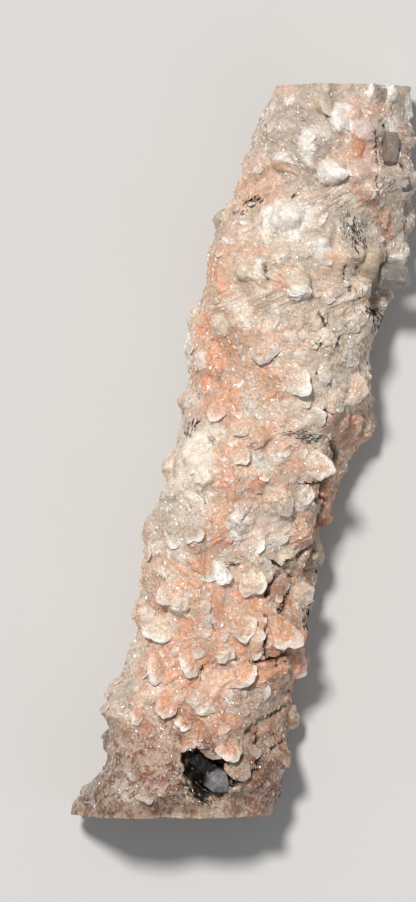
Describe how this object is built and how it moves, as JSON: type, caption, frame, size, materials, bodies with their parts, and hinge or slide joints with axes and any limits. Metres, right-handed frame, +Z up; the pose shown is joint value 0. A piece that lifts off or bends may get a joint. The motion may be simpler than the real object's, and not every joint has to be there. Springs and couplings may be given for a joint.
{
  "type": "calcite and specularite on quartz specimen",
  "caption": "Long mineral specimen lying on its flat back: quartz bar under a crust of lens-shaped calcite, with black specularite and a pocket quartz crystal.",
  "frame": {"origin": "middle of the specimen's box, on the surface that its flat back rests on", "axes": "+X along the length towards the narrow head, +Z up out of the crusted front, +Y towards the left edge seen from the front with the head up"},
  "size_m": [0.147, 0.0706, 0.0292],
  "materials": {
    "massive_quartz": "broken greyish tan quartz, waxy to glassy",
    "calcite": "salmon to cream lens crystals with white rims, glittering fine crystals between",
    "smoky_quartz": "clear smoky quartz, glassy",
    "grey_quartz": "cloudy grey translucent quartz, glassy",
    "specularite": "black mirror-bright hematite blades"
  },
  "bodies": {
    "root": {"quartz_matrix": "massive_quartz", "calcite_crust": "calcite", "pocket_quartz_crystal": "smoky_quartz", "edge_quartz_crystal": "grey_quartz", "upper_quartz_crystal": "grey_quartz", "lower_quartz_crystal": "grey_quartz", "pocket_specularite": "specularite", "specularite_head": "specularite", "specularite_streaks": "specularite", "specularite_right_edge": "specularite", "specularite_band": "specularite", "specularite_left_edge": "specularite", "specularite_rib": "specularite"}
  },
  "joints": []
}
